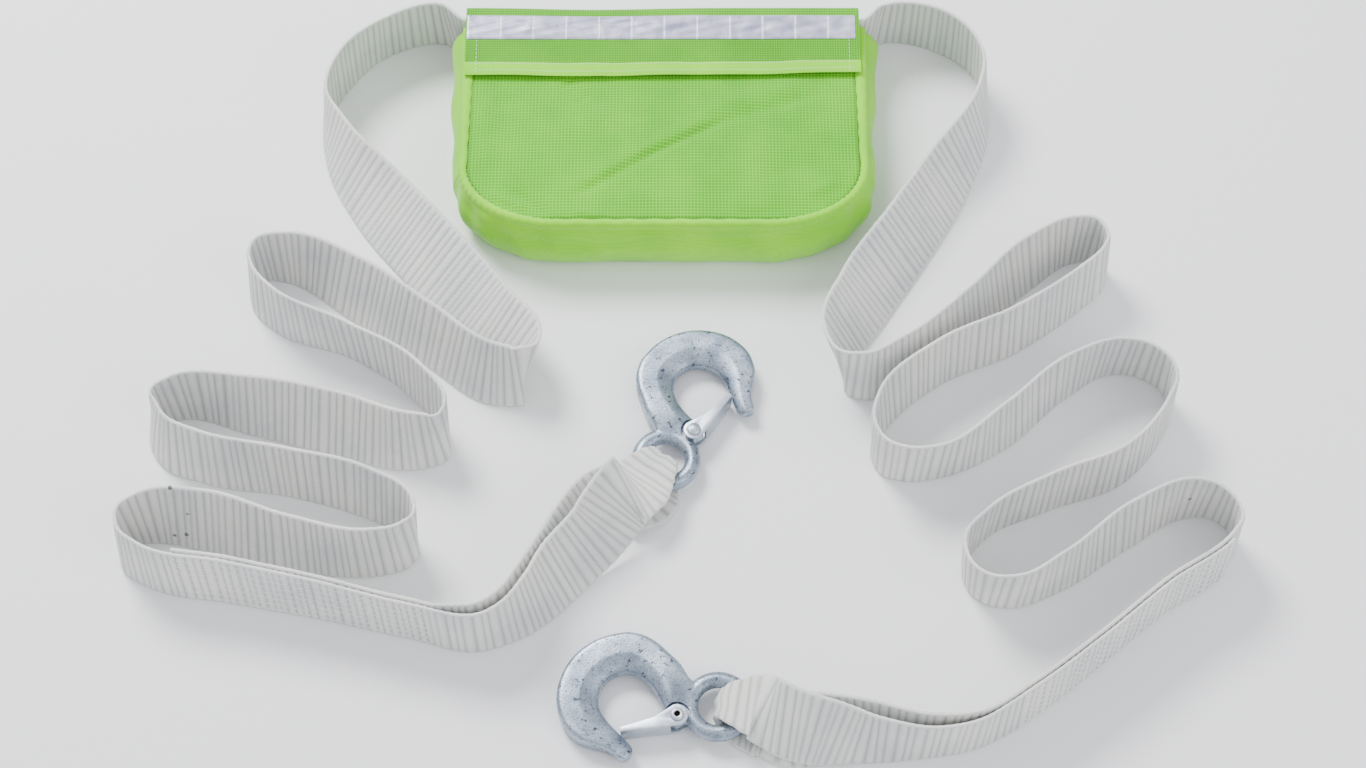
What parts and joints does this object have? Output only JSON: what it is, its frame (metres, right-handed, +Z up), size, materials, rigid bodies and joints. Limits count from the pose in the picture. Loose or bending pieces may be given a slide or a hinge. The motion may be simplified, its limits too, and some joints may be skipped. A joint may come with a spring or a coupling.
{
  "type": "vehicle tow strap",
  "caption": "Webbing tow strap with a forged eye hook and spring latch sewn into each end, lying in loops with its middle through a hi-vis storage bag.",
  "frame": {"origin": "on the floor under the middle of the storage bag's back panel", "axes": "+X along the bag's mouth to the right as in the picture, +Y away from the hooks, +Z up from the floor"},
  "size_m": [0.6781, 0.5238, 0.058],
  "materials": {
    "webbing": "undyed polyester webbing, ribbed weave",
    "zinc_steel": "blue-white zinc plate on forged steel",
    "spring_steel": "bright drawn wire",
    "bag_fabric": "hi-vis lime woven polyester",
    "gusset_fabric": "hi-vis lime smooth knitted polyester",
    "reflective_tape": "silver-grey retroreflective tape on cloth"
  },
  "bodies": {
    "strap_and_bag": {"webbing": "webbing", "bag_back_panel": "bag_fabric", "bag_gusset": "gusset_fabric", "bag_front_panel": "bag_fabric"},
    "left_hook_body": {"left_hook": "zinc_steel", "left_latch_pin": "zinc_steel", "left_latch_spring": "spring_steel"},
    "left_latch_body": {"left_latch": "zinc_steel"},
    "right_hook_body": {"right_hook": "zinc_steel", "right_latch_pin": "zinc_steel", "right_latch_spring": "spring_steel"},
    "right_latch_body": {"right_latch": "zinc_steel"},
    "flap_body": {"bag_flap": "bag_fabric", "reflective_tape": "reflective_tape"}
  },
  "joints": [
    {"name": "left_hook_swing", "type": "hinge", "parent": "strap_and_bag", "child": "left_hook_body", "pos_m": [-0.00756, -0.24725, 0.0104], "axis": [0.8151, -0.5793, 0], "range_deg": [0, 20]},
    {"name": "left_latch_hinge", "type": "hinge", "parent": "left_hook_body", "child": "left_latch_body", "pos_m": [0.01917, -0.21596, 0.00944], "axis": [0.0107, 0.021, 0.9997], "range_deg": [0, 32], "stiffness_Nm_per_rad": 0.1, "springref_deg": -34.38},
    {"name": "right_hook_swing", "type": "hinge", "parent": "strap_and_bag", "child": "right_hook_body", "pos_m": [0.04925, -0.39747, 0.0104], "axis": [0.1736, 0.9848, 0], "range_deg": [0, 20]},
    {"name": "right_latch_hinge", "type": "hinge", "parent": "right_hook_body", "child": "right_latch_body", "pos_m": [0.00931, -0.4018, 0.00944], "axis": [0.0236, 0, -0.9997], "range_deg": [0, 32], "stiffness_Nm_per_rad": 0.1, "springref_deg": -34.38},
    {"name": "flap_hinge", "type": "hinge", "parent": "strap_and_bag", "child": "flap_body", "pos_m": [0, 0.079, 0.0544], "axis": [-1, 0, 0], "range_deg": [0, 150]}
  ]
}
